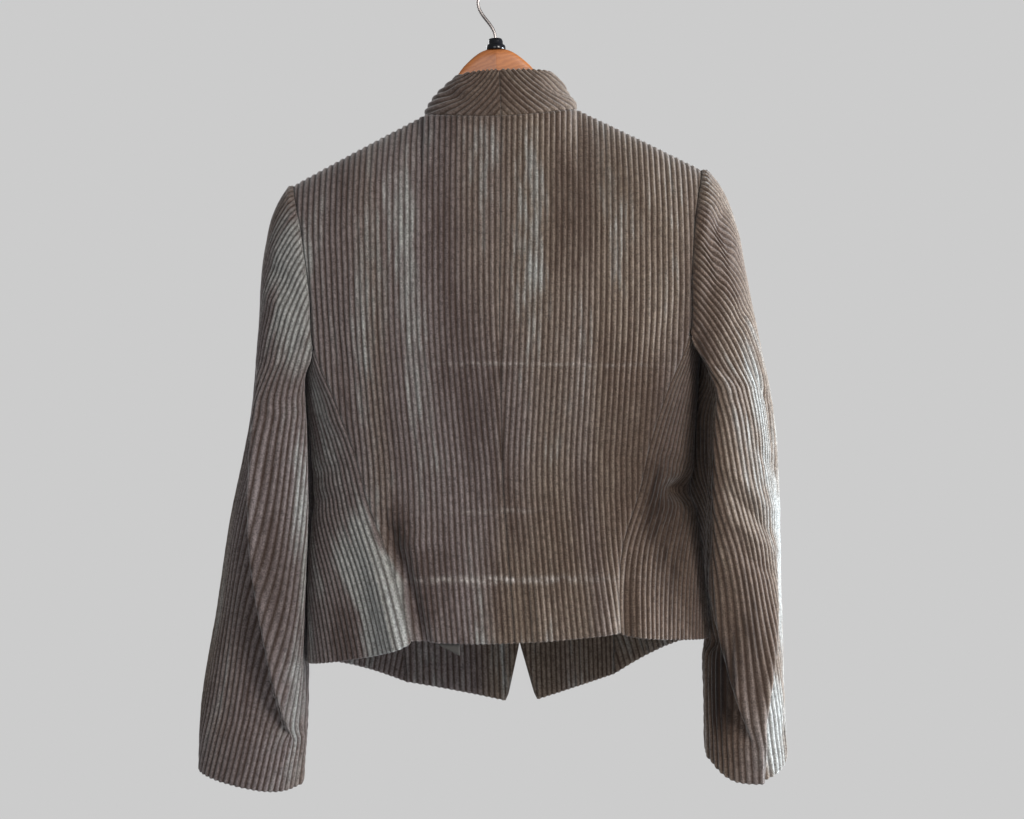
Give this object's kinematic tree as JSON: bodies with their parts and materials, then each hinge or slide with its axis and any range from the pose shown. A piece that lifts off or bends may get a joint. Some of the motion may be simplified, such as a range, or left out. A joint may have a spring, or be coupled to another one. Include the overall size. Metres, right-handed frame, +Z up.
{
  "type": "corduroy blazer on a hanger",
  "caption": "Cropped wide-wale corduroy jacket with a stand collar and pointed front hem, hung open at neck, hem and cuffs on a wooden hanger with a wire hook.",
  "frame": {"origin": "inside top of the hanger's hook, where a rod carries it", "axes": "+Z up, +X to the wearer's right, +Y the way the wearer would face"},
  "size_m": [0.5958, 0.1713, 0.8068],
  "materials": {
    "corduroy": "wide-wale cotton corduroy, taupe brown with a grey nap",
    "tab_cotton": "plain pale grey cotton",
    "hanger_wood": "orange-brown stained wood, satin varnish",
    "ferrule_black": "black, glossy",
    "hook_steel": "drawn steel wire"
  },
  "bodies": {
    "root": {"back_left": "corduroy", "back_right": "corduroy", "side_left": "corduroy", "side_right": "corduroy", "front_left": "corduroy", "front_right": "corduroy", "facing_left": "corduroy", "facing_right": "corduroy", "sleeve_left": "corduroy", "sleeve_right": "corduroy", "collar_left": "corduroy", "collar_right": "corduroy", "hem_tab": "tab_cotton", "hanger_wood": "hanger_wood", "hanger_ferrule": "ferrule_black", "hanger_hook": "hook_steel"}
  },
  "joints": []
}
